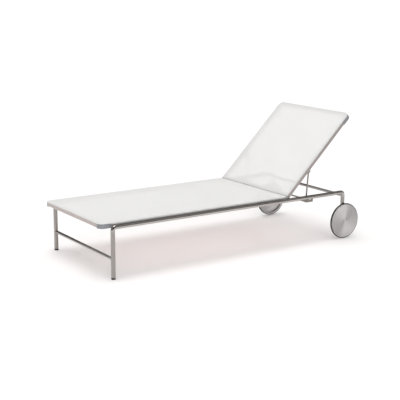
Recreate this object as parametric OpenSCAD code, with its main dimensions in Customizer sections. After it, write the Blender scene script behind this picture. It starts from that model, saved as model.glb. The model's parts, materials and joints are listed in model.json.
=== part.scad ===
// Reclining sun lounger: tube side frames, sling seat, hinged sling backrest with a prop, disc wheels
// Rest pose: backrest raised. +X is the head end, +Z is up, left is -Y. All sizes in mm.

/* [Frame] */
// Distance from front leg axis to rear leg axis
leg_span = 1667; // [1560:1:1760]
// Distance between the two side rail axes
frame_w = 715; // [640:1:780]
// Height of the side rail axis above the floor
rail_h = 295; // [280:1:340]
// Diameter of the side frame tube
tube_d = 25; // [24:0.5:27]
// Wall of every round tube
tube_wall = 1.5; // [1.2:0.1:2]
// Centre line radius of the tube bends
bend_r = 18; // [16:1:20]
// Diameter of the cross bars
bar_d = 18; // [16:1:20]
// Height of the front cross bar axis
front_bar_h = 116; // [80:1:160]
// Drop of the rear cross bar below the rail axis
rear_bar_drop = 21; // [19:1:40]

/* [Seat] */
// Overhang of the seat in front of the front leg axis
overhang = 72; // [65:1:100]
// Height of the seat surface above the side rail axis
seat_rise = 23; // [22:1:26]
// Gap between the side tubes and the seat frame
side_gap = 1.5; // [1:0.5:3]
// Outer radius of the rounded frame corners
corner_r = 34; // [30:1:60]
// Width of the sling rail section
rail_w = 18; // [17:1:20]
// Height of the sling rail section
rail_t = 24; // [23:1:25]
// How far the corner connectors reach below the rails
corner_drop = 4; // [0:1:6]
// Straight arm of the corner connectors along the side rails
corner_arm = 42; // [10:1:50]

/* [Backrest] */
// Hinge axis behind the front leg axis
hinge_back = 1226; // [1150:1:1260]
// Length of the backrest from the hinge axis to its top edge
back_l = 688; // [640:1:720]
// Raised angle of the backrest above the seat
back_angle = 44.5; // [40:0.5:46]

/* [Prop] */
// Distance of the prop pivot from the hinge axis, along the backrest
prop_along = 235; // [225:1:245]
// Drop of the prop pivot below the middle of the backrest frame
prop_drop = 28; // [26:1:30]
// Length of the prop from its pivot to the cross rod
prop_l = 177; // [170:1:184]
// Forward lean of the prop
prop_lean = 4.5; // [0:0.5:6]
// Diameter of the prop rods
rod_d = 10; // [8:0.5:11]

/* [Wheels] */
// Outer diameter of the wheels
wheel_d = 226; // [200:1:240]
// Width of the wheels
wheel_w = 15; // [14:0.5:18]
// Gap between the rear legs and the wheels
wheel_gap = 3.5; // [3:0.5:5]

/* [Hidden] */
$fn = 64;
eps = 0.05;
tube_r = tube_d / 2;
bore_r = tube_r - tube_wall;
bar_r = bar_d / 2;
rod_r = rod_d / 2;
strut_r = rod_r - 0.25;
wheel_r = wheel_d / 2;
rail_y = frame_w / 2;
total_l = overhang + leg_span + wheel_r;
front_x = overhang - total_l / 2;
rear_x = front_x + leg_span;
seat_x = front_x - overhang;
hinge_x = front_x + hinge_back;
seat_half = rail_y - tube_r - side_gap;
seat_inner = seat_half - rail_w;

// Sling and rail section
sling_t = 1;
rail_top = rail_h + seat_rise - sling_t;
hinge_z = rail_top - rail_t / 2;
rail_wall = 1.8;
edge_r = 2.5;
keder_in = 5.5;
keder_drop = 5.5;
channel_r = 4;
slot_w = 2.6;
loop_r = 3.5;
keder_r = 2.5;
hem_w = 1;
hem_lip = 0.4;
cavity_w = rail_w - 2 * rail_wall;
cavity_h = rail_t - keder_drop - channel_r - 2 * rail_wall;
cavity_y = rail_wall - rail_t;
spigot_gap = 0.3;
spigot_l = 26;
plug_t = 2;
seat_end_gap = 15;
cross_gap = 8;
knuckle_reach = 12;
bottom_gap = 9;
sling_in = 1;
seat_rail_l = hinge_x - seat_end_gap - plug_t - seat_x;
seat_cross_l = hinge_x - cross_gap - seat_x;
back_rail_l = back_l - knuckle_reach;
back_cross_l = back_l - bottom_gap;

// Feet and leg ends
foot_h = 10;
foot_lip = 2;
leg_plug_t = 3;
plug_l = 15;
leg_end_z = wheel_r - 16;

// Seat fixings
fix_n = 4;
fix_first = 130;
fix_z = rail_top + cavity_y + cavity_h / 2;
screw_r = 2.5;
screw_clear = 0.2;
screw_head_r = 4.5;
screw_head_t = 2.6;
washer_r = 6;

// Hinge
plate_t = 5;
plate_l = 75;
plate_r = 8;
eye_relief = 0.5;
pin_r = 5;
pin_head_r = 6.5;
pin_head_t = 4;
bush_r = 8;
knuckle_r = 11.5;
run_gap = 0.05;

// Prop
strut_y = seat_inner - 9.5;
prop_eye_r = 8;
prop_pin_r = 4;
lug_t = 4;
lug_half = 24;
lug_tip_r = 8;
lug_top = 9;
rod_end_y = seat_inner + 1.5;
rod_cap_l = 2;
prop_x = hinge_x + prop_along * cos(back_angle) + prop_drop * sin(back_angle);
prop_z = hinge_z + prop_along * sin(back_angle) - prop_drop * cos(back_angle);
rod_x = prop_x - prop_l * sin(prop_lean);
rod_z = prop_z - prop_l * cos(prop_lean);

// Notch brackets
bracket_y = rod_end_y + 1;
bracket_t = 4;
flange_top = rail_h - 7;
notch_r = rod_r + 0.6;
notch_pitch = 21;

// Wheels
tyre_t = 4.5;
disc_r = wheel_r - tyre_t;
axle_r = 6;
hub_bush_r = 10;
hub_r = 22;
cap_r = 18;
cap_t = 2;
retainer_t = 3;
web_t = 4;
rim_t = 11;
wheel_in = tube_r + wheel_gap;
wheel_out = wheel_in + wheel_w;
bush_l = wheel_w - cap_t - retainer_t - 1.5;

// ---------- helpers ----------

// Right side (+Y) geometry, mirrored for the left side
module side(s) {
    mirror([0, s < 0 ? 1 : 0, 0])
        children();
}

module both_sides() {
    for (s = [-1, 1])
        side(s) children();
}

// Cylinder along +Y, starting at y = 0
module y_rod(r, h) {
    rotate([-90, 0, 0])
        cylinder(r = r, h = h);
}

// Flat shape drawn in X and Z, extruded towards +Y
module y_plate(t) {
    translate([0, t, 0])
        rotate([90, 0, 0])
            linear_extrude(t)
                children();
}

module rounded_rect(w, h, r) {
    translate([r, 0])
        square([w - 2 * r, h]);
    translate([0, r])
        square([w, h - 2 * r]);
    for (x = [r, w - r], y = [r, h - r])
        translate([x, y])
            circle(r = r);
}

// Backrest parts are drawn flat from the hinge axis, then raised
module raised() {
    translate([hinge_x, 0, hinge_z])
        rotate([0, -back_angle, 0])
            children();
}

// ---------- side frames ----------

// Quarter bend: starts along +Z at the origin and turns to +X
module bend(r) {
    translate([bend_r, 0, 0])
        rotate([90, 0, 180])
            rotate_extrude(angle = 90)
                translate([bend_r, 0])
                    circle(r = r);
}

module frame_path(r, extra) {
    bend_z = rail_h - bend_r;
    translate([front_x, rail_y, foot_h - extra])
        cylinder(r = r, h = bend_z - foot_h + extra);
    translate([front_x, rail_y, bend_z])
        bend(r);
    translate([front_x + bend_r, rail_y, rail_h])
        rotate([0, 90, 0])
            cylinder(r = r, h = leg_span - 2 * bend_r);
    translate([rear_x, rail_y, bend_z])
        mirror([1, 0, 0])
            bend(r);
    translate([rear_x, rail_y, leg_end_z - extra])
        cylinder(r = r, h = bend_z - leg_end_z + extra);
}

module side_frame(s) {
    color("silver")
        side(s)
            difference() {
                frame_path(tube_r, 0);
                frame_path(bore_r, 1);
                for (x = fix_places())
                    translate([x, rail_y - tube_r - 1, fix_z])
                        y_rod(screw_r + screw_clear, tube_r);
                translate([rear_x, rail_y - tube_r - 1, wheel_r])
                    y_rod(axle_r + eps, tube_d + 2);
            }
}

// Round bar between the legs, its ends shaped to fit the leg tubes
module cross_bar(x, z) {
    color("silver")
        difference() {
            translate([x, -rail_y, z])
                y_rod(bar_r, frame_w);
            translate([x, -rail_y, z])
                y_rod(bar_r - tube_wall, frame_w);
            both_sides()
                frame_path(tube_r + eps, 0);
        }
}

module foot_cap(s) {
    color("black")
        side(s)
            translate([front_x, rail_y, 0]) {
                cylinder(r1 = tube_r - 1, r2 = tube_r, h = foot_lip);
                translate([0, 0, foot_lip])
                    cylinder(r = tube_r, h = foot_h - foot_lip);
                cylinder(r = bore_r - spigot_gap, h = foot_h + plug_l);
            }
}

module rear_leg_plugs() {
    color("black")
        both_sides()
            translate([rear_x, rail_y, leg_end_z - leg_plug_t]) {
                cylinder(r = tube_r, h = leg_plug_t);
                cylinder(r = bore_r - spigot_gap, h = leg_plug_t + 6);
            }
}

// ---------- sling rails ----------

// Section: x = 0 is the outer face, y = 0 is the top face
module rail_body_section(drop) {
    difference() {
        translate([-rail_w, -rail_t - drop])
            rounded_rect(rail_w, rail_t + drop, edge_r);
        translate([-keder_in, -keder_drop])
            circle(r = channel_r);
        translate([-keder_in - slot_w / 2, -keder_drop])
            square([slot_w, keder_drop + 1]);
    }
}

module cavity_section(gap) {
    translate([rail_wall - rail_w + gap, cavity_y + gap])
        square([cavity_w - 2 * gap, cavity_h - 2 * gap]);
}

module rail_section() {
    difference() {
        rail_body_section(0);
        cavity_section(0);
    }
}

module keder_section(r) {
    translate([-keder_in, -keder_drop])
        circle(r = r);
}

// Hem of the sling: a web down the slot and a loop round the keder cord
module hem_section() {
    difference() {
        union() {
            keder_section(loop_r);
            translate([-keder_in - hem_w / 2, -keder_drop])
                square([hem_w, keder_drop + sling_t / 2]);
        }
        keder_section(keder_r + 0.1);
    }
}

// Sweeps for a frame whose rounded end is at x = 0 and which runs to x = len
module sweep_side(len, start = corner_r) {
    translate([start, seat_half, 0])
        rotate([90, 0, 90])
            linear_extrude(len - start)
                children();
}

module sweep_corner() {
    translate([corner_r, seat_half - corner_r, 0])
        rotate([0, 0, 90])
            rotate_extrude(angle = 90)
                translate([corner_r, 0])
                    children();
}

module sweep_end() {
    translate([0, corner_r - seat_half, 0])
        rotate([90, 0, 180])
            linear_extrude(2 * (seat_half - corner_r))
                children();
}

module sweep_cross(len, half) {
    translate([len, half, 0])
        rotate([90, 0, 0])
            linear_extrude(2 * half)
                children();
}

// Rounded corner connector with a spigot into each neighbouring rail
module corner_block() {
    sweep_corner()
        rail_body_section(corner_drop);
    sweep_side(corner_r + corner_arm)
        rail_body_section(corner_drop);
    translate([corner_r + corner_arm, seat_half, 0])
        rotate([90, 0, 90])
            translate([0, 0, -1])
                linear_extrude(spigot_l + 1)
                    cavity_section(spigot_gap);
    translate([0, seat_half - corner_r - spigot_l, 0])
        rotate([90, 0, 180])
            linear_extrude(spigot_l + 1)
                cavity_section(spigot_gap);
}

// Sling cloth: flat panel with rounded outer corners and hems in the rail slots
module sling_panel(side_l, cross_l, cross_half) {
    inset = keder_in - hem_w / 2 - hem_lip;
    half = seat_half - inset;
    main_l = min(side_l, cross_l) - sling_in;
    linear_extrude(sling_t) {
        translate([corner_r, -half])
            square([main_l - corner_r, 2 * half]);
        translate([corner_r, -cross_half])
            square([cross_l - sling_in - corner_r, 2 * cross_half]);
        translate([inset, corner_r - seat_half])
            square([corner_r, 2 * (seat_half - corner_r)]);
        for (s = [-1, 1])
            translate([corner_r, s * (seat_half - corner_r)])
                circle(r = corner_r - inset);
    }
    both_sides() {
        sweep_side(main_l - sling_in)
            hem_section();
        sweep_corner()
            hem_section();
    }
    sweep_end()
        hem_section();
    sweep_cross(cross_l, cross_half)
        hem_section();
}

module keder_cords(side_l, cross_l, cross_half) {
    both_sides() {
        sweep_side(side_l - sling_in)
            keder_section(keder_r);
        sweep_corner()
            keder_section(keder_r);
    }
    sweep_end()
        keder_section(keder_r);
    sweep_cross(cross_l, cross_half)
        keder_section(keder_r);
}

// ---------- seat ----------

function fix_places() = [for (i = [0 : fix_n - 1])
    front_x + fix_first + i * (hinge_back - 2 * fix_first - plate_l) / (fix_n - 1)];

module seat_place() {
    translate([seat_x, 0, rail_top])
        children();
}

seat_cross_half = seat_inner - plate_t;

module seat_side_rail(s) {
    color("gainsboro")
        side(s)
            difference() {
                seat_place()
                    sweep_side(seat_rail_l, corner_r + corner_arm)
                        rail_section();
                for (x = fix_places())
                    translate([x, seat_inner - 1, fix_z])
                        y_rod(screw_r + screw_clear, rail_w + 2);
                for (x = hinge_screw_places())
                    translate([x, seat_inner - 1, fix_z])
                        y_rod(screw_r + screw_clear, rail_wall + 2);
            }
}

module seat_front_rail() {
    color("gainsboro")
        seat_place()
            sweep_end()
                rail_section();
}

module seat_rear_rail() {
    color("gainsboro")
        seat_place()
            sweep_cross(seat_cross_l, seat_cross_half)
                rail_section();
}

module seat_corner(s) {
    color("slategray")
        side(s)
            seat_place()
                corner_block();
}

// Plate over the open rear end of each side rail
module seat_end_plugs() {
    color("slategray")
        seat_place()
            both_sides() {
                translate([seat_rail_l, seat_half, 0])
                    rotate([90, 0, 90])
                        linear_extrude(plug_t)
                            translate([-rail_w, -rail_t])
                                rounded_rect(rail_w, rail_t, edge_r);
                translate([seat_rail_l - 12, seat_half, 0])
                    rotate([90, 0, 90])
                        linear_extrude(13)
                            cavity_section(spigot_gap);
            }
}

module seat_keder_cords() {
    color("white")
        seat_place()
            keder_cords(seat_rail_l, seat_cross_l, seat_cross_half - 1);
}

module seat_sling() {
    color("whitesmoke")
        seat_place()
            sling_panel(seat_rail_l, seat_cross_l, seat_cross_half - 1);
}

// Saddle washers fill the gap between the seat rails and the round tubes
module seat_saddle_washers() {
    color("dimgray")
        both_sides()
            for (x = fix_places())
                difference() {
                    translate([x, seat_half, fix_z])
                        y_rod(washer_r, tube_r);
                    translate([x, seat_half - 1, fix_z])
                        y_rod(screw_r + screw_clear, tube_d);
                    translate([x - 2 * washer_r, rail_y, rail_h])
                        rotate([0, 90, 0])
                            cylinder(r = tube_r + eps, h = 4 * washer_r);
                    translate([x - 2 * washer_r, rail_y, rail_h - tube_d])
                        cube([4 * washer_r, tube_d, 3 * tube_d]);
                }
}

module seat_fixing_screws() {
    color("silver")
        both_sides()
            for (x = fix_places())
                translate([x, seat_inner, fix_z]) {
                    translate([0, -screw_head_t, 0])
                        y_rod(screw_head_r, screw_head_t);
                    translate([0, -1, 0])
                        y_rod(screw_r, rail_w + side_gap + 7);
                }
}

// ---------- hinge ----------

function hinge_screw_places() = [hinge_x - plate_l + 12, hinge_x - plate_l + 42];

module hinge_plate(s) {
    color("silver")
        side(s)
            difference() {
                union() {
                    translate([hinge_x - plate_l, seat_inner - plate_t, hinge_z - plate_r])
                        cube([plate_l - seat_end_gap, plate_t, 2 * plate_r]);
                    translate([hinge_x, seat_inner - plate_t, hinge_z])
                        y_plate(plate_t - eye_relief) {
                            circle(r = plate_r);
                            translate([-seat_end_gap - 1, -plate_r])
                                square([seat_end_gap + 1, 2 * plate_r]);
                        }
                }
                translate([hinge_x, seat_inner - plate_t - 1, hinge_z])
                    y_rod(pin_r + run_gap, plate_t + 2);
                for (x = hinge_screw_places())
                    translate([x, seat_inner - plate_t - 1, fix_z])
                        y_rod(screw_r + screw_clear, plate_t + 2);
            }
}

module hinge_plate_screws() {
    color("silver")
        both_sides()
            for (x = hinge_screw_places())
                translate([x, seat_inner - plate_t, fix_z]) {
                    translate([0, -screw_head_t, 0])
                        y_rod(screw_head_r, screw_head_t);
                    translate([0, -1, 0])
                        y_rod(screw_r, plate_t + rail_wall + 5);
                }
}

module hinge_pins() {
    color("silver")
        both_sides()
            translate([hinge_x, seat_inner - plate_t, hinge_z]) {
                translate([0, -pin_head_t, 0])
                    y_rod(pin_head_r, pin_head_t);
                translate([0, -1, 0])
                    y_rod(pin_r, plate_t + rail_w);
            }
}

module hinge_knuckle(s) {
    color("dimgray")
        side(s)
            raised() {
                difference() {
                    translate([0, seat_inner, 0])
                        y_plate(rail_w) {
                            circle(r = knuckle_r);
                            translate([0, -knuckle_r])
                                square([knuckle_reach, 2 * knuckle_r]);
                        }
                    translate([0, seat_inner - 1, 0])
                        y_rod(bush_r + eps, rail_w + 2);
                }
                difference() {
                    translate([knuckle_reach - 1, seat_half, rail_t / 2])
                        rotate([90, 0, 90])
                            linear_extrude(spigot_l + 1)
                                cavity_section(spigot_gap);
                    translate([0, seat_inner - 1, 0])
                        y_rod(bush_r + eps, rail_w + 2);
                }
            }
}

module hinge_bushes() {
    color("sienna")
        both_sides()
            raised()
                translate([0, seat_inner + 0.1, 0])
                    difference() {
                        y_rod(bush_r, rail_w - 0.2);
                        translate([0, -1, 0])
                            y_rod(pin_r + run_gap, rail_w + 2);
                    }
}

// ---------- backrest ----------

// Frame local to the rounded top end, seen from the hinge axis
module back_place() {
    raised()
        translate([back_l, 0, rail_t / 2])
            mirror([1, 0, 0])
                children();
}

module backrest_side_rail(s) {
    color("gainsboro")
        side(s)
            back_place()
                sweep_side(back_rail_l, corner_r + corner_arm)
                    rail_section();
}

module backrest_top_rail() {
    color("gainsboro")
        back_place()
            sweep_end()
                rail_section();
}

module backrest_bottom_rail() {
    color("gainsboro")
        back_place()
            sweep_cross(back_cross_l, seat_inner)
                rail_section();
}

module backrest_corner(s) {
    color("slategray")
        side(s)
            back_place()
                corner_block();
}

module backrest_keder_cords() {
    color("white")
        back_place()
            keder_cords(back_rail_l, back_cross_l, seat_inner - 1);
}

module backrest_sling() {
    color("whitesmoke")
        back_place()
            sling_panel(back_rail_l, back_cross_l, seat_inner - 1);
}

// ---------- prop ----------

module prop_lug(s) {
    color("gainsboro")
        side(s)
            raised()
                translate([prop_along, seat_inner - lug_t, 0])
                    difference() {
                        union() {
                            y_plate(lug_t)
                                polygon([[-lug_half, lug_top], [lug_half, lug_top],
                                    [lug_half, -rail_t / 2], [lug_tip_r - 2, -prop_drop - 2],
                                    [2 - lug_tip_r, -prop_drop - 2], [-lug_half, -rail_t / 2]]);
                            translate([0, 0, -prop_drop])
                                y_rod(lug_tip_r, lug_t);
                        }
                        translate([0, -1, -prop_drop])
                            y_rod(prop_pin_r + eps, lug_t + 2);
                    }
}

module prop_pivot_pins() {
    color("silver")
        both_sides()
            translate([prop_x, 0, prop_z]) {
                translate([0, strut_y - rod_r - 3, 0])
                    y_rod(prop_pin_r, rod_d + 4 + lug_t);
                translate([0, seat_inner, 0])
                    y_rod(prop_pin_r + 2, 3);
                translate([0, strut_y - rod_r - 3, 0])
                    y_rod(prop_pin_r + 2, 2.5);
            }
}

module prop_place() {
    translate([prop_x, 0, prop_z])
        rotate([0, prop_lean, 0])
            children();
}

module prop_bail() {
    color("silver")
        prop_place()
            difference() {
                union() {
                    both_sides() {
                        translate([0, strut_y, -prop_l])
                            cylinder(r = strut_r, h = prop_l);
                        translate([0, strut_y - rod_r, 0])
                            y_rod(prop_eye_r, rod_d);
                    }
                    translate([0, rod_cap_l - rod_end_y, -prop_l])
                        y_rod(rod_r, 2 * (rod_end_y - rod_cap_l));
                }
                both_sides()
                    translate([0, strut_y - rod_d, 0])
                        y_rod(prop_pin_r + run_gap, 2 * rod_d);
            }
}

module prop_end_caps() {
    color("black")
        prop_place()
            both_sides()
                translate([0, rod_end_y - rod_cap_l, -prop_l])
                    y_rod(rod_r, rod_cap_l);
}

// Hooked plate under the side rail; the ends of the prop rod rest in its notches
module notch_bracket(s) {
    color("silver")
        side(s) {
            translate([rod_x, bracket_y, 0])
                difference() {
                    y_plate(bracket_t)
                        polygon([[-53, rod_z - 2], [-40, rod_z - 6], [-18, rod_z - 15],
                            [-12, rod_z - 17], [41, rod_z - 17], [48, flange_top],
                            [-53, flange_top]]);
                    translate([0, -1, rod_z]) {
                        for (i = [0, 1])
                            translate([i * notch_pitch, 0, 0])
                                y_rod(notch_r, bracket_t + 2);
                        translate([-70, 0, 0])
                            cube([70 + notch_pitch, bracket_t + 2, notch_r + 2]);
                        translate([notch_pitch, 0, 2])
                            y_rod(notch_r, bracket_t + 2);
                    }
                }
            difference() {
                translate([rod_x - 53, bracket_y, flange_top - bracket_t])
                    cube([101, rail_y - bracket_y - 2, bracket_t]);
                translate([rod_x - 80, rail_y, rail_h])
                    rotate([0, 90, 0])
                        cylinder(r = tube_r + eps, h = 160);
            }
        }
}

// ---------- wheels ----------

// Wheel parts are drawn from the leg axis outwards, along +Y
module wheel_place(s) {
    side(s)
        translate([rear_x, rail_y, wheel_r])
            rotate([-90, 0, 0])
                children();
}

module axle(s) {
    color("silver")
        wheel_place(s) {
            translate([0, 0, -tube_r - 4])
                cylinder(r = 9, h = 4);
            translate([0, 0, -tube_r - 3])
                cylinder(r = axle_r, h = tube_r + 3 + wheel_out - cap_t - 1);
        }
}

module axle_spacers() {
    color("black")
        for (s = [-1, 1])
            wheel_place(s)
                difference() {
                    translate([0, 0, tube_r + eps])
                        cylinder(r = 12, h = wheel_gap - 0.5);
                    translate([0, 0, tube_r - 1])
                        cylinder(r = axle_r + eps, h = wheel_gap + 2);
                }
}

// Clip washer at the outer end of each axle, under the hub cap
module axle_retainers() {
    color("silver")
        for (s = [-1, 1])
            wheel_place(s)
                difference() {
                    translate([0, 0, wheel_in + bush_l + 0.5])
                        cylinder(r = cap_r - 4, h = retainer_t - 0.5);
                    translate([0, 0, wheel_in])
                        cylinder(r = axle_r + eps, h = wheel_w);
                }
}

// Turned disc: thick rim and hub, thin web, slightly domed outer face
module wheel_disc(s) {
    rim_in = disc_r - rim_t;
    color("lightgray")
        wheel_place(s)
            translate([0, 0, wheel_in])
                rotate_extrude($fn = 128)
                    polygon([[hub_bush_r + eps, 0], [hub_r, 0],
                        [hub_r, wheel_w - web_t - 1], [rim_in, wheel_w - web_t - 1],
                        [rim_in, 1], [rim_in + 1, 0], [disc_r - 3, 0], [disc_r - 1.5, 0.6],
                        [disc_r - 1.5, 1.2], [disc_r, 1.2], [disc_r, wheel_w - 3],
                        [disc_r - 0.6, wheel_w - 1.8], [disc_r - 2, wheel_w - 1.2],
                        [cap_r + 0.3, wheel_w], [cap_r + 0.3, wheel_w - cap_t],
                        [cap_r - 3, wheel_w - cap_t], [cap_r - 3, bush_l],
                        [hub_bush_r + eps, bush_l]]);
}

module wheel_tyre(s) {
    color("black")
        wheel_place(s)
            translate([0, 0, wheel_in])
                rotate_extrude($fn = 128)
                    polygon([[disc_r + eps, 1.4], [wheel_r - 1.6, 1.4], [wheel_r - 0.4, 2.2],
                        [wheel_r, 4], [wheel_r, wheel_w - 5.4], [wheel_r - 0.4, wheel_w - 3.8],
                        [wheel_r - 1.6, wheel_w - 3.2], [disc_r + eps, wheel_w - 3.2]]);
}

module hub_bush(s) {
    color("ivory")
        wheel_place(s)
            difference() {
                translate([0, 0, wheel_in])
                    cylinder(r = hub_bush_r, h = bush_l);
                translate([0, 0, wheel_in - 1])
                    cylinder(r = axle_r + run_gap, h = bush_l + 2);
            }
}

module hub_cap(s) {
    color("lightgray")
        wheel_place(s)
            translate([0, 0, wheel_out - cap_t + eps])
                rotate_extrude($fn = 96)
                    polygon([[0, 0], [cap_r, 0], [cap_r, cap_t - eps - 0.4],
                        [cap_r - 0.4, cap_t - eps], [0, cap_t - eps]]);
}

side_frame(-1);  // side_frame_left
side_frame(1);  // side_frame_right
cross_bar(front_x, front_bar_h);  // front_cross_bar
cross_bar(rear_x, rail_h - rear_bar_drop);  // rear_cross_bar
foot_cap(-1);  // foot_cap_left
foot_cap(1);  // foot_cap_right
rear_leg_plugs();
seat_side_rail(-1);  // seat_side_rail_left
seat_side_rail(1);  // seat_side_rail_right
seat_front_rail();
seat_rear_rail();
seat_corner(-1);  // seat_corner_left
seat_corner(1);  // seat_corner_right
seat_end_plugs();
seat_keder_cords();
seat_sling();
seat_saddle_washers();
seat_fixing_screws();
hinge_plate(-1);  // hinge_plate_left
hinge_plate(1);  // hinge_plate_right
hinge_plate_screws();
hinge_pins();
notch_bracket(-1);  // notch_bracket_left
notch_bracket(1);  // notch_bracket_right
axle(-1);  // axle_left
axle(1);  // axle_right
axle_spacers();
axle_retainers();
backrest_side_rail(-1);  // backrest_side_rail_left
backrest_side_rail(1);  // backrest_side_rail_right
backrest_top_rail();
backrest_bottom_rail();
backrest_corner(-1);  // backrest_corner_left
backrest_corner(1);  // backrest_corner_right
backrest_keder_cords();
backrest_sling();
hinge_knuckle(-1);  // hinge_knuckle_left
hinge_knuckle(1);  // hinge_knuckle_right
hinge_bushes();
prop_lug(-1);  // prop_lug_left
prop_lug(1);  // prop_lug_right
prop_pivot_pins();
prop_bail();
prop_end_caps();
wheel_disc(-1);  // wheel_disc_left
wheel_tyre(-1);  // wheel_tyre_left
hub_bush(-1);  // hub_bush_left
hub_cap(-1);  // hub_cap_left
wheel_disc(1);  // wheel_disc_right
wheel_tyre(1);  // wheel_tyre_right
hub_bush(1);  // hub_bush_right
hub_cap(1);  // hub_cap_right
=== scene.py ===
"""Looks for the reclining sun lounger: brushed steel, turned discs, grey corners, mesh slings."""

import json
import math

import bmesh
import bpy
from mathutils import Matrix, Vector


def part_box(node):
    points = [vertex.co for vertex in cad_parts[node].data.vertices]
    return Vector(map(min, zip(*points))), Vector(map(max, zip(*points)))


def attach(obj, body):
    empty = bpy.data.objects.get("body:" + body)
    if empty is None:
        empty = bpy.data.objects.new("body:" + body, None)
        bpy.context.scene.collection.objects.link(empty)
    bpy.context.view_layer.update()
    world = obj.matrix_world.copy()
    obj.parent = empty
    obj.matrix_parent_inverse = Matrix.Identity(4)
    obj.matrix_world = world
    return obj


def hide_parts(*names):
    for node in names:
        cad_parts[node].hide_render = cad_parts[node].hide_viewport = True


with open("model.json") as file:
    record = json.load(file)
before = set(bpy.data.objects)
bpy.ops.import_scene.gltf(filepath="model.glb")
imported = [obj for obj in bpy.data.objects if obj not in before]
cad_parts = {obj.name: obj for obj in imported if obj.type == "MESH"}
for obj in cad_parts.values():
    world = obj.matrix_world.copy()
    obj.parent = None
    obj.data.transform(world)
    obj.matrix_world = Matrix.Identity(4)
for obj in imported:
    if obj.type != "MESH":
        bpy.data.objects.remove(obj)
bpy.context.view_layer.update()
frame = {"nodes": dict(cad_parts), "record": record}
record = frame["record"]
nodes = frame["nodes"]
joints = {j["name"]: j for j in record["behaviour"]["joints"]}

# ---------------------------------------------------------------- measures, in metres
RECLINE = math.radians(-joints["backrest_recline"]["range_deg"][0])
HINGE = Vector(joints["backrest_recline"]["pos_m"])
CORNER_R = 0.034          # outer radius of the rounded frame corners
EDGE_IN = 0.0012          # the welded flap of a sling stops this far in from the outer face
FLAP_ROLL = ((.0009, .0003), (.0016, .0010), (.0019, .0022))   # (out, down) of its rolled edge
FLAP_LEAST = 0.0003       # the roll goes on down by this much where there is no flap
SIDE_FLAP = 0.0095        # more of the seat sling turned down over its side rails
END_FLAP = 0.008          # and over the two cross rails at the hinge
FLAP_FADE = 0.003         # length over which the flap begins
SEAT_REACH = 0.001        # the seat sling passes its rear rail by this much
CORNER_ARM = 0.042        # the corner connectors run on this far beyond the bend
BEND_LOW = 0.045          # the bend of a side frame lies between these depths below its top
BEND_HIGH = 0.020
CLOTH_T = 0.0009
SAG = 0.003               # middle of a sling below its rails
SAG_EDGE = 0.16           # the sag fades over this length at the cross rails
RAIL_W = 0.018
HEM_W = 0.022             # welded double hem along the edges
HEM_T = 0.0003
HEM_FADE = 0.0015
BEND_STEPS = 14           # rows of the sling grid round a frame corner
PANEL_STEP = 0.022        # spacing of its other rows
ACROSS_STEPS = 60
YARN = 0.0018             # pitch of the mesh weave
BUSY = (.35, .65)         # the band in which most values of a noise lie
GRIT = 900.0              # brush marks per metre across the brushing
GRIT_RUN = 9.0            # and along it
GRIT_BROAD = .12          # share of that for the broader marks
LATHE = 1400.0            # turning marks per metre of radius
LATHE_BROAD = 160.0


def box(name):
    lo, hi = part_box(name)
    return Vector(lo), Vector(hi)


# ---------------------------------------------------------------- node helpers
class Tree:
    """Small wrapper that adds shader nodes and links them."""

    def __init__(self, name):
        self.mat = bpy.data.materials.new(name)
        self.mat.use_nodes = True
        self.nt = self.mat.node_tree
        self.bsdf = next(n for n in self.nt.nodes if n.type == "BSDF_PRINCIPLED")
        self.out = next(n for n in self.nt.nodes if n.type == "OUTPUT_MATERIAL")

    def add(self, kind, **values):
        node = self.nt.nodes.new(kind)
        for key, value in values.items():
            setattr(node, key, value)
        return node

    def link(self, a, b):
        self.nt.links.new(a, b)

    def put(self, socket, value):
        if isinstance(value, bpy.types.NodeSocket):
            self.link(value, socket)
        else:
            socket.default_value = value

    def math(self, op, a, b=0.0, c=0.0, clamp=False):
        node = self.add("ShaderNodeMath", operation=op, use_clamp=clamp)
        for i, value in enumerate((a, b, c)):
            self.put(node.inputs[i], value)
        return node.outputs[0]

    def mapped(self, vector, what, value):
        node = self.add("ShaderNodeMapping", vector_type="POINT")
        node.inputs[what].default_value = value
        self.link(vector, node.inputs["Vector"])
        return node.outputs[0]

    def place(self, turn=(0, 0, 0), scale=(1, 1, 1), move=(0, 0, 0)):
        """Object coordinates, moved, turned, then scaled."""
        co = self.add("ShaderNodeTexCoord").outputs["Object"]
        moved = self.mapped(co, "Location", move)
        return self.scaled(self.mapped(moved, "Rotation", turn), scale)

    def scaled(self, vector, scale):
        return self.mapped(vector, "Scale", scale)

    def noise(self, vector, scale, detail=3.0, rough=0.55):
        node = self.add("ShaderNodeTexNoise")
        node.inputs["Scale"].default_value = scale
        node.inputs["Detail"].default_value = detail
        node.inputs["Roughness"].default_value = rough
        self.link(vector, node.inputs["Vector"])
        return node.outputs["Fac"]

    def span(self, value, lo, hi, from_lo=0.0, from_hi=1.0):
        node = self.add("ShaderNodeMapRange", clamp=True)
        self.put(node.inputs["Value"], value)
        node.inputs["From Min"].default_value = from_lo
        node.inputs["From Max"].default_value = from_hi
        node.inputs["To Min"].default_value = lo
        node.inputs["To Max"].default_value = hi
        return node.outputs[0]

    def blend(self, fac, a, b):
        node = self.add("ShaderNodeMix", data_type="RGBA")
        self.put(node.inputs["Factor"], fac)
        ins = [s for s in node.inputs if s.type == "RGBA"]
        self.put(ins[0], a)
        self.put(ins[1], b)
        return [s for s in node.outputs if s.type == "RGBA"][0]

    def bump(self, height, strength, distance):
        node = self.add("ShaderNodeBump")
        node.inputs["Strength"].default_value = strength
        node.inputs["Distance"].default_value = distance
        self.link(height, node.inputs["Height"])
        self.link(node.outputs[0], self.bsdf.inputs["Normal"])
        return node


def rgb(r, g, b):
    return (r, g, b, 1.0)


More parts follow.
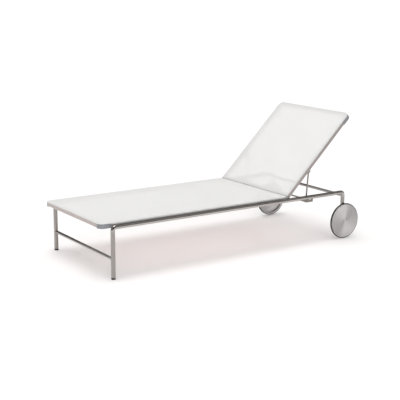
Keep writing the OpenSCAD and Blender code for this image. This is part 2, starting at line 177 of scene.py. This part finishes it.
# ---------------------------------------------------------------- materials
def brushed(name, along, turn=(0, 0, 0), dark=rgb(.33, .315, .30), light=rgb(.47, .45, .43),
            rough=(.24, .40)):
    """Steel brushed along one axis (0 = X, 1 = Y, 2 = Z) after the turn."""
    t = Tree(name)
    fine = [GRIT, GRIT, GRIT]
    fine[along] = GRIT_RUN
    co = t.place(turn=turn)
    streak = t.noise(t.scaled(co, fine), 1.0, 2.0)
    broad = t.noise(t.scaled(co, [f * GRIT_BROAD for f in fine]), 1.0, 3.0)
    cloud = t.noise(co, 14.0, 3.0)
    mixed = t.math("MULTIPLY_ADD", streak, .5, t.math("MULTIPLY", broad, .5))
    t.link(t.blend(t.span(mixed, 0, 1, *BUSY), dark, light), t.bsdf.inputs["Base Color"])
    wear = t.math("MULTIPLY_ADD", mixed, .6, t.math("MULTIPLY", cloud, .4))
    t.link(t.span(wear, *rough, *BUSY), t.bsdf.inputs["Roughness"])
    t.bsdf.inputs["Metallic"].default_value = 1.0
    t.bump(streak, .12, .0004)
    return t.mat


def frame_tube(name):
    """Bent tube: the brushing runs down the legs and along the rail; the rail part is painted
    lighter than the legs, a painted highlight on the rail and painted shade on the legs of one
    steel.
    """
    t = Tree(name)
    co = t.place()
    rail = t.noise(t.scaled(co, (GRIT_RUN, GRIT, GRIT)), 1.0, 2.0)
    leg = t.noise(t.scaled(co, (GRIT, GRIT, GRIT_RUN)), 1.0, 2.0)
    axis = t.add("ShaderNodeSeparateXYZ")
    t.link(co, axis.inputs[0])
    tube_top = box("side_frame_left")[1].z
    side = t.span(axis.outputs["Z"], 0, 1, tube_top - BEND_LOW, tube_top - BEND_HIGH)
    streak = t.math("ADD", t.math("MULTIPLY", rail, side),
                    t.math("MULTIPLY", leg, t.math("SUBTRACT", 1.0, side)))
    cloud = t.noise(co, 11.0, 3.0)
    # painted light and shade: the same steel is darker on the legs and lighter on the rail, for
    # how light falls on them
    legs = t.blend(t.span(streak, 0, 1, *BUSY), rgb(.28, .265, .25), rgb(.39, .37, .35))
    rails = t.blend(t.span(streak, 0, 1, *BUSY), rgb(.40, .38, .365), rgb(.53, .505, .485))
    t.link(t.blend(side, legs, rails), t.bsdf.inputs["Base Color"])
    wear = t.math("MULTIPLY_ADD", streak, .6, t.math("MULTIPLY", cloud, .4))
    t.link(t.span(wear, .15, .25, *BUSY), t.bsdf.inputs["Roughness"])
    t.bsdf.inputs["Metallic"].default_value = 1.0
    t.bump(streak, .10, .0004)
    return t.mat


def turned(name, centre):
    """Disc turned on a lathe: fine rings round the axle, which runs along Y."""
    t = Tree(name)
    co = t.place(move=[-c for c in centre])
    axis = t.add("ShaderNodeSeparateXYZ")
    t.link(co, axis.inputs[0])
    x, z = axis.outputs["X"], axis.outputs["Z"]
    radius = t.math("SQRT", t.math("ADD", t.math("MULTIPLY", x, x), t.math("MULTIPLY", z, z)))
    angle = t.math("ARCTAN2", z, x)
    ring = t.add("ShaderNodeCombineXYZ")
    t.link(t.math("MULTIPLY", radius, LATHE), ring.inputs["X"])
    t.link(t.math("MULTIPLY", t.math("COSINE", angle), .8), ring.inputs["Y"])
    t.link(t.math("MULTIPLY", t.math("SINE", angle), .8), ring.inputs["Z"])
    rings = t.noise(ring.outputs[0], 1.0, 2.0)
    broad = t.add("ShaderNodeCombineXYZ")
    t.link(t.math("MULTIPLY", radius, LATHE_BROAD), broad.inputs["X"])
    bands = t.noise(broad.outputs[0], 1.0, 2.0)
    mixed = t.math("MULTIPLY_ADD", rings, .6, t.math("MULTIPLY", bands, .4))
    t.link(t.blend(t.span(mixed, 0, 1, *BUSY), rgb(.53, .515, .51), rgb(.69, .675, .67)),
           t.bsdf.inputs["Base Color"])
    t.link(t.span(mixed, .36, .46, *BUSY), t.bsdf.inputs["Roughness"])
    t.bsdf.inputs["Metallic"].default_value = 1.0
    t.bsdf.inputs["Anisotropic"].default_value = .9
    tangent = t.add("ShaderNodeTangent", direction_type="RADIAL", axis="Y")
    t.link(tangent.outputs[0], t.bsdf.inputs["Tangent"])
    t.bump(rings, .10, .0003)
    return t.mat


def moulded(name, dark, light, rough, grain=900.0, depth=.0002, metallic=0.0):
    """Moulded plastic, rubber or small cast steel: fine grain and faint blotches."""
    t = Tree(name)
    co = t.place()
    fine = t.noise(co, grain, 2.0)
    cloud = t.noise(co, 35.0, 4.0)
    t.link(t.blend(t.span(cloud, 0, 1, .3, .7), dark, light), t.bsdf.inputs["Base Color"])
    t.link(t.span(t.math("MULTIPLY_ADD", fine, .5, t.math("MULTIPLY", cloud, .5)),
                  *rough, *BUSY), t.bsdf.inputs["Roughness"])
    t.bsdf.inputs["Metallic"].default_value = metallic
    t.bump(fine, .25, depth)
    return t.mat


def mesh_cloth(name, open_share, white):
    """Plain weave of round coated yarns with a small opening at every crossing gap, and painted
    shade where the yarns dip.
    """
    t = Tree(name)
    co = t.place(scale=(math.pi / YARN,) * 3)
    axis = t.add("ShaderNodeSeparateXYZ")
    t.link(co, axis.inputs[0])
    x, y = axis.outputs["X"], axis.outputs["Y"]
    warp = t.math("ABSOLUTE", t.math("SINE", x))
    weft = t.math("ABSOLUTE", t.math("SINE", y))
    quarter = math.pi / 2
    warp_turn = t.math("SINE", t.math("MULTIPLY_ADD", x, 1.0, quarter))
    weft_turn = t.math("SINE", t.math("MULTIPLY_ADD", y, 1.0, quarter))
    over = t.math("SIGN", t.math("MULTIPLY", warp_turn, weft_turn))
    swap = t.span(over, .0, .35, -1.0, 1.0)
    height = t.math("MAXIMUM", t.math("ADD", warp, swap),
                    t.math("ADD", weft, t.math("SUBTRACT", .35, swap)))
    gap = t.math("MULTIPLY", t.math("SUBTRACT", 1.0, warp), t.math("SUBTRACT", 1.0, weft))
    plain = t.place()
    cloud = t.noise(plain, 5.0, 4.0)
    slub = t.noise(t.scaled(plain, (30, 900, 30)), 1.0, 2.0)
    tint = t.blend(t.span(cloud, 0, 1, .3, .7), rgb(*[w * .965 for w in white]), rgb(*white))
    # painted shade: the weave is darkened to 80 % where the yarns dip, for the shade in its
    # crevices
    tint = t.blend(t.span(height, 0, 1, .35, 1.1), rgb(*[w * .80 for w in white]), tint)
    t.link(tint, t.bsdf.inputs["Base Color"])
    t.link(t.span(slub, .50, .66, *BUSY), t.bsdf.inputs["Roughness"])
    t.bsdf.inputs["Specular IOR Level"].default_value = .35
    t.bsdf.inputs["Sheen Weight"].default_value = .08
    hole = t.span(gap, 0, 1, .42, .50)
    t.link(t.math("SUBTRACT", 1.0, t.math("MULTIPLY_ADD", hole, .75, open_share)),
           t.bsdf.inputs["Alpha"])
    t.bump(height, .5, .0005)
    return t.mat


def assign(mat, *names):
    for name in names:
        for piece_slot in nodes[name].material_slots:
            piece_slot.material = mat


def both(stem):
    return stem + "_left", stem + "_right"


BACK_TURN = (0, RECLINE, 0)
steel_tube = frame_tube("steel_tube")
assign(steel_tube, *both("side_frame"))
assign(brushed("steel_cross", 1), "front_cross_bar", "rear_cross_bar")
WARM = dict(dark=rgb(.42, .375, .36), light=rgb(.55, .50, .48), rough=(.28, .42))
assign(brushed("rail_seat_side", 0, **WARM), *both("seat_side_rail"))
assign(brushed("rail_seat_cross", 1, **WARM), "seat_front_rail", "seat_rear_rail")
# painted shade: the backrest side rails get a darker copy of the warm rail steel
assign(brushed("rail_back_side_painted_shade", 0, BACK_TURN, dark=rgb(.33, .30, .29), light=rgb(.44, .40, .385)),
       *both("backrest_side_rail"))
assign(brushed("rail_back_cross", 1, BACK_TURN, **WARM), "backrest_top_rail",
       "backrest_bottom_rail")
assign(brushed("steel_prop", 2, dark=rgb(.28, .265, .25), light=rgb(.40, .38, .36)), "prop_bail")
grey = moulded("grey_nylon", rgb(.20, .21, .225), rgb(.26, .27, .285), (.38, .52))
assign(grey, *both("seat_corner"), *both("backrest_corner"), "seat_end_plugs")
black = moulded("black_nylon", rgb(.012, .012, .013), rgb(.022, .022, .023), (.40, .55))
assign(black, *both("foot_cap"), "rear_leg_plugs", "seat_saddle_washers", "axle_spacers",
       "prop_end_caps")
small = moulded("small_steel", rgb(.30, .285, .27), rgb(.42, .40, .38), (.26, .40),
                grain=600.0, depth=.0001, metallic=1.0)
assign(small, *both("hinge_plate"), *both("hinge_knuckle"), *both("axle"), *both("prop_lug"),
       "hinge_plate_screws", "hinge_pins", "seat_fixing_screws", "axle_retainers",
       "prop_pivot_pins")
# painted shade: the notch brackets are a darker copy of the small steel parts, for the shade under
# the rails
bracket = moulded("bracket_steel_painted_shade", rgb(.23, .21, .19), rgb(.33, .305, .28), (.34, .48),
                  grain=600.0, depth=.0001, metallic=1.0)
assign(bracket, *both("notch_bracket"))
white_nylon = moulded("white_nylon", rgb(.62, .62, .60), rgb(.70, .70, .68), (.40, .55))
assign(white_nylon, *both("hub_bush"), "seat_keder_cords", "backrest_keder_cords",
       "hinge_bushes")
tyre = moulded("tyre_rubber", rgb(.014, .014, .014), rgb(.028, .027, .026), (.62, .80),
               grain=700.0, depth=.0004)
assign(tyre, *both("wheel_tyre"))
for side in ("left", "right"):
    lo, hi = box("wheel_tyre_" + side)
    assign(turned("turned_disc_" + side, (lo + hi) / 2), "wheel_disc_" + side, "hub_cap_" + side)


# ---------------------------------------------------------------- slings
def local_box(names, to_local):
    """Corners of some nodes, measured in a turned frame."""
    points = [to_local @ v.co for name in names for v in nodes[name].data.vertices]
    return (Vector([min(p[i] for p in points) for i in range(3)]),
            Vector([max(p[i] for p in points) for i in range(3)]))


def steps(start, stop, count, ends=0.0):
    """Evenly spaced numbers, drawn a little towards both ends."""
    out = []
    for i in range(count + 1):
        u = i / count
        u -= ends * math.sin(2 * math.pi * u) / (2 * math.pi)
        out.append(start + (stop - start) * u)
    return out


def sling(name, round_x, square_x, half, side_flap, reach, top, body, node, mat):
    """Stretched panel. round_x is the rounded end and square_x the cross rail's outer face."""
    way = 1 if square_x > round_x else -1
    r = CORNER_R - EDGE_IN
    length = abs(square_x - round_x)
    u0, u1 = EDGE_IN, length + reach
    w = half - EDGE_IN
    us = [u0 + r * (1 - math.cos(math.pi / 2 * i / BEND_STEPS)) for i in range(BEND_STEPS)]
    us += steps(u0 + r, u1, int(length / PANEL_STEP), .0)
    vs = steps(-1, 1, ACROSS_STEPS, .35)

    def sag(u, y):
        across = max(0.0, 1 - (abs(y) / (half - RAIL_W)) ** 2)
        along = min(1.0, max(0.0, u - RAIL_W) / SAG_EDGE, max(0.0, length - RAIL_W - u) / SAG_EDGE)
        return SAG * across * along * (2 - along)

    def hem(u, y, edge):
        gap = min(edge - abs(y), u - u0, u1 - u)
        return HEM_T * (1 - min(1.0, max(0.0, (gap - HEM_W) / HEM_FADE)))

    verts, faces = [], []
    for u in us:
        e = w
        if u < u0 + r:
            e = w - r + math.sqrt(max(0.0, r * r - (u0 + r - u) ** 2))
        for v in vs:
            y = v * e
            z = top - sag(u, y) + hem(u, y, e)
            verts.append((round_x + way * u, y, z))
    nv = len(vs)
    for i in range(len(us) - 1):
        for j in range(nv - 1):
            a = i * nv + j
            faces.append((a, a + 1, a + nv + 1, a + nv))
    # edge loop: along the -y side, the square end, the +y side, then the round end
    rim = [i * nv for i in range(len(us))]
    rim += [(len(us) - 1) * nv + j for j in range(1, nv)]
    rim += [i * nv + nv - 1 for i in range(len(us) - 2, -1, -1)]
    rim += [j for j in range(nv - 2, 0, -1)]
    def flap(p):
        """How far the cloth is turned down over the rail at a point of the edge."""
        u = abs(p.x - round_x)
        if abs(p.y) < w - .001:
            return END_FLAP if u > length / 2 else FLAP_LEAST
        past = min(1.0, max(0.0, (u - CORNER_R - CORNER_ARM) / FLAP_FADE))
        return FLAP_LEAST + (side_flap - FLAP_LEAST) * past

    previous = rim
    centre = Vector((round_x + way * length / 2, 0, 0))
    roll_out, roll_down = FLAP_ROLL[-1]
    for step, (out, down) in enumerate(FLAP_ROLL + ((roll_out, None), (roll_out, None))):
        ring = []
        for k, index in enumerate(rim):
            p = Vector(verts[index])
            if step >= len(FLAP_ROLL):
                down = roll_down + flap(p) * (step - len(FLAP_ROLL) + 1) / 2
            a, b = Vector(verts[rim[k - 1]]), Vector(verts[rim[(k + 1) % len(rim)]])
            normal = Vector(((b - a).y, -(b - a).x, 0))
            normal = normal.normalized() if normal.length else Vector((0, 0, 0))
            if normal.dot(p - centre) < 0:
                normal = -normal
            ring.append(len(verts))
            verts.append(tuple(p + normal * out - Vector((0, 0, down))))
        for k in range(len(rim)):
            n = (k + 1) % len(rim)
            faces.append((previous[k], previous[n], ring[n], ring[k]))
        previous = ring
    mesh = bpy.data.meshes.new(name)
    mesh.from_pydata(verts, [], faces)
    mesh.update()
    piece = bpy.data.objects.new(name, mesh)
    bpy.context.scene.collection.objects.link(piece)
    bm = bmesh.new()
    bm.from_mesh(mesh)
    bmesh.ops.recalc_face_normals(bm, faces=bm.faces)
    up = sum(f.normal.z * f.calc_area() for f in bm.faces)
    if up < 0:
        bmesh.ops.reverse_faces(bm, faces=bm.faces)
    bm.to_mesh(mesh)
    bm.free()
    for poly in mesh.polygons:
        poly.use_smooth = True
    thick = piece.modifiers.new("thickness", "SOLIDIFY")
    thick.thickness = CLOTH_T
    thick.offset = -1.0
    mesh.materials.append(mat)
    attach(piece, body)
    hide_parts(node)
    return piece


WHITE = (.86, .858, .845)
seat_cloth = mesh_cloth("mesh_seat", .16, WHITE)
back_cloth = mesh_cloth("mesh_back", .26, WHITE)

front = box("seat_front_rail")[0]
rear = box("seat_rear_rail")[1]
outer = box("seat_side_rail_right")[1]
seat_top = box("seat_sling")[1].z
seat = sling("seat_mesh", front.x, rear.x, outer.y, SIDE_FLAP, SEAT_REACH, seat_top, "frame",
             "seat_sling", seat_cloth)

raise_back = Matrix.Translation(HINGE) @ Matrix.Rotation(-RECLINE, 4, "Y")
to_flat = raise_back.inverted()
rails_lo, rails_hi = local_box(["backrest_top_rail", "backrest_bottom_rail"], to_flat)
sides_hi = local_box(["backrest_side_rail_right"], to_flat)[1]
cloth_top = local_box(["backrest_sling"], to_flat)[1].z
back = sling("backrest_mesh", rails_hi.x, rails_lo.x, sides_hi.y, FLAP_LEAST, -EDGE_IN,
             cloth_top, "backrest", "backrest_sling", back_cloth)
back.matrix_world = raise_back

# ---------------------------------------------------------------- floor, light and camera
scene = bpy.context.scene
FLOOR = 60.0
AMBIENT = .79
OPEN_SIDE = (-.56, -.83, 0)
# brightness met on the way from the open side's horizon (0) over the top to the far one (1)
STUDIO = ((.0, .04), (.22, .04), (.34, .25), (.45, .50), (.55, .30), (.66, .10), (.94, .10),
          (1.0, .60))
CEILING = 1.10
FRONT = .42
UNDER_PLACE, UNDER_AIM = (0, .02, .27), (0, .02, 0)
FILL_PLACE, FILL_AIM = (-4.5, -3.0, 1.6), (0, 0, .3)
STUDIO_TINT = (1.0, .975, .95)
floor_mesh = bpy.data.meshes.new("floor")
floor_mesh.from_pydata([(-FLOOR, -FLOOR, 0), (FLOOR, -FLOOR, 0), (FLOOR, FLOOR, 0),
                        (-FLOOR, FLOOR, 0)], [], [(0, 1, 2, 3)])
floor = bpy.data.objects.new("floor", floor_mesh)
scene.collection.objects.link(floor)
paper = Tree("floor_paper")
paper_tint = paper.noise(paper.place(), 1.5, 2.0)
paper.link(paper.blend(paper_tint, rgb(.90, .885, .88), rgb(.92, .905, .90)),
           paper.bsdf.inputs["Base Color"])
paper.bsdf.inputs["Roughness"].default_value = .9
paper.bsdf.inputs["Specular IOR Level"].default_value = .1
floor_mesh.materials.append(paper.mat)


def rgba_sockets(sockets):
    return [s for s in sockets if s.type == "RGBA"]


def studio():
    """White to the eye; in reflections a studio whose wall on the open side is dark."""
    world = bpy.data.worlds.new("studio")
    scene.world = world
    world.use_nodes = True
    tree = world.node_tree
    add, link = tree.nodes.new, tree.links.new
    background = next(n for n in tree.nodes if n.type == "BACKGROUND")
    path = add("ShaderNodeLightPath")
    where = add("ShaderNodeTexCoord")
    open_side = add("ShaderNodeVectorMath")
    open_side.operation = "DOT_PRODUCT"
    open_side.inputs[1].default_value = OPEN_SIDE
    link(where.outputs["Generated"], open_side.inputs[0])
    height = add("ShaderNodeSeparateXYZ")
    link(where.outputs["Generated"], height.inputs[0])
    swing = add("ShaderNodeMath")
    swing.operation = "ARCTAN2"
    link(height.outputs["Z"], swing.inputs[0])
    link(open_side.outputs["Value"], swing.inputs[1])
    share = add("ShaderNodeMath")
    share.operation = "DIVIDE"
    link(swing.outputs[0], share.inputs[0])
    share.inputs[1].default_value = math.pi
    walls = add("ShaderNodeValToRGB")
    link(share.outputs[0], walls.inputs["Fac"])
    while len(walls.color_ramp.elements) < len(STUDIO):
        walls.color_ramp.elements.new(.5)
    for stop, (spot, level) in zip(walls.color_ramp.elements, STUDIO):
        stop.position = spot
        stop.color = rgb(*[level * part for part in STUDIO_TINT])
    pick = add("ShaderNodeMix")
    pick.data_type = "RGBA"
    link(path.outputs["Is Glossy Ray"], pick.inputs["Factor"])
    plain, seen = rgba_sockets(pick.inputs)
    plain.default_value = rgb(1.0, 1.0, 1.0)
    link(walls.outputs["Color"], seen)
    link(rgba_sockets(pick.outputs)[0], background.inputs["Color"])
    power = add("ShaderNodeMix")
    power.data_type = "FLOAT"
    link(path.outputs["Is Diffuse Ray"], power.inputs["Factor"])
    power.inputs["A"].default_value = 1.0
    power.inputs["B"].default_value = AMBIENT
    link(power.outputs["Result"], background.inputs["Strength"])


studio()


def area(name, place, target, size, power, tint=(1, 1, 1)):
    light = bpy.data.lights.new(name, "AREA")
    light.shape = "RECTANGLE"
    light.size, light.size_y = size
    light.energy = power
    light.color = tint
    lamp = bpy.data.objects.new(name, light)
    scene.collection.objects.link(lamp)
    lamp.location = place
    lamp.rotation_euler = (Vector(target) - Vector(place)).to_track_quat("-Z", "Y").to_euler()
    return lamp


def soft_sun(name, energy, spread, turn):
    """A very wide sun, turned from straight down by the given degrees about X, Y and Z."""
    light = bpy.data.lights.new(name, "SUN")
    light.energy, light.angle = energy, math.radians(spread)
    lamp = bpy.data.objects.new(name, light)
    scene.collection.objects.link(lamp)
    lamp.rotation_euler = [math.radians(a) for a in turn]
    return lamp


soft_sun("ceiling", CEILING, 34, (-3, -4, 0))
front_sun = soft_sun("front", FRONT, 40, (58, 0, -20))
front_sun.visible_glossy = False
# light thrown back by the floor under the slings, and a soft lamp at the foot end
under = area("under_fill", UNDER_PLACE, UNDER_AIM, (1.5, .56), .75, (1.0, .74, .71))
under.visible_camera = under.visible_glossy = False
area("fill", FILL_PLACE, FILL_AIM, (1.6, 2.6), 6)

# camera: place, heading, pitch and roll
EYE = Vector((-3.3506, -4.9197, 1.6265))
YAW, PITCH, ROLL = math.radians(33.926), math.radians(12.794), math.radians(.245)
LENS, SENSOR = 88.366, 36.0
ahead = Vector((math.sin(YAW) * math.cos(PITCH), math.cos(YAW) * math.cos(PITCH),
                -math.sin(PITCH)))
right = Vector((math.cos(YAW), -math.sin(YAW), 0))
up = right.cross(ahead)
cam_x = right * math.cos(ROLL) + up * math.sin(ROLL)
cam_y = up * math.cos(ROLL) - right * math.sin(ROLL)
cam = bpy.data.cameras.new("camera")
cam.lens, cam.sensor_width = LENS, SENSOR
camera = bpy.data.objects.new("camera", cam)
scene.collection.objects.link(camera)
turn = Matrix((cam_x, cam_y, -ahead)).transposed()
camera.matrix_world = Matrix.Translation(EYE) @ turn.to_4x4()
scene.camera = camera
scene.view_settings.view_transform = "Standard"
